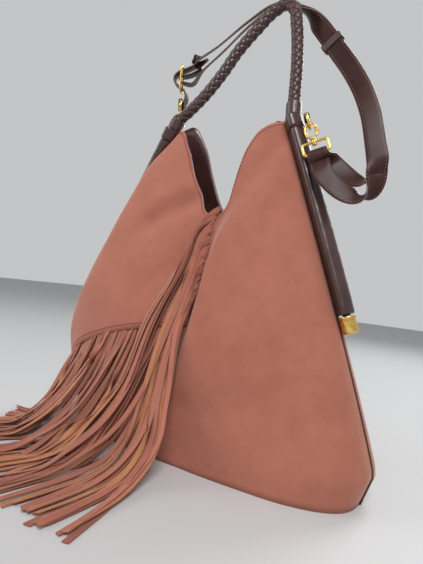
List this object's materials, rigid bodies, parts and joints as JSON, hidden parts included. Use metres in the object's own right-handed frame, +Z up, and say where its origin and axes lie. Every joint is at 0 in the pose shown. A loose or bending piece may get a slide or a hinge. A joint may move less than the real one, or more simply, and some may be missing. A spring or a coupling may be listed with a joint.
{
  "type": "fringed suede shoulder bag",
  "caption": "Soft two-pointed shoulder bag with a long front fringe, a plaited handle in leather side sleeves with metal end caps, and a clip-on doubled strap.",
  "frame": {"origin": "centre of the base, on the surface the bag stands on", "axes": "+Z up, -Y towards the fringed front, +X to the right seen from the front"},
  "size_m": [0.4436, 0.3021, 0.5614],
  "materials": {
    "suede": "matte napped suede, rose-brown",
    "dark_leather": "smooth dark brown, semi-gloss",
    "facing_leather": "smooth dark brown, semi-gloss",
    "gold_metal": "polished pale gold plating"
  },
  "bodies": {
    "bag": {"front_panel": "suede", "front_yoke": "suede", "back_panel": "suede", "base_panel": "suede", "fringe_left": "suede", "fringe_centre": "suede", "braided_handle": "dark_leather", "handle_wrap_left": "dark_leather", "handle_wrap_right": "dark_leather", "side_sleeve_left": "dark_leather", "side_sleeve_right": "dark_leather", "sleeve_collar_left": "dark_leather", "sleeve_collar_right": "dark_leather", "ring_tab_left": "dark_leather", "ring_tab_right": "dark_leather", "shoulder_strap": "dark_leather", "mouth_facing": "facing_leather", "handle_cap_left": "gold_metal", "handle_cap_right": "gold_metal", "strap_ring_left": "gold_metal", "strap_ring_right": "gold_metal", "strap_slider": "gold_metal"},
    "d_ring_left": {"d_ring_left": "gold_metal"},
    "d_ring_right": {"d_ring_right": "gold_metal"},
    "hook_left": {"hook_frame_left": "gold_metal"},
    "hook_right": {"hook_frame_right": "gold_metal"},
    "gate_left": {"hook_gate_left": "gold_metal"},
    "gate_right": {"hook_gate_right": "gold_metal"},
    "keeper": {"strap_keeper": "dark_leather"}
  },
  "joints": [
    {"name": "d_ring_left_swing", "type": "hinge", "parent": "bag", "child": "d_ring_left", "pos_m": [-0.106, 0.004, 0.403], "axis": [0.8487, 0.5288, 0.0003], "range_deg": [-6, 6]},
    {"name": "hook_left_swivel", "type": "hinge", "parent": "bag", "child": "hook_left", "pos_m": [-0.11493, 0.01832, 0.42995], "axis": [-0.2809, 0.4503, 0.8476], "range_deg": [-20, 20]},
    {"name": "gate_left_opening", "type": "hinge", "parent": "hook_left", "child": "gate_left", "pos_m": [-0.11159, 0.01296, 0.42659], "axis": [0.8487, 0.5288, 0.0003], "range_deg": [0, 18], "stiffness_Nm_per_rad": 0.005, "springref_deg": -17.19},
    {"name": "d_ring_right_swing", "type": "hinge", "parent": "bag", "child": "d_ring_right", "pos_m": [0.0855, -0.013, 0.391], "axis": [0.1714, -0.9579, 0.2303], "range_deg": [-6, 6]},
    {"name": "hook_right_swivel", "type": "hinge", "parent": "bag", "child": "hook_right", "pos_m": [0.09855, -0.01755, 0.36236], "axis": [0.4103, -0.1431, -0.9007], "range_deg": [-20, 20]},
    {"name": "gate_right_opening", "type": "hinge", "parent": "hook_right", "child": "gate_right", "pos_m": [0.0992, -0.01578, 0.36926], "axis": [0.1714, -0.9579, 0.2303], "range_deg": [0, 18], "stiffness_Nm_per_rad": 0.005, "springref_deg": -17.19},
    {"name": "strap_keeper_slide", "type": "slide", "parent": "bag", "child": "keeper", "axis": [-0.586, 0.0866, 0.8057], "range_m": [-0.01, 0.01]}
  ]
}
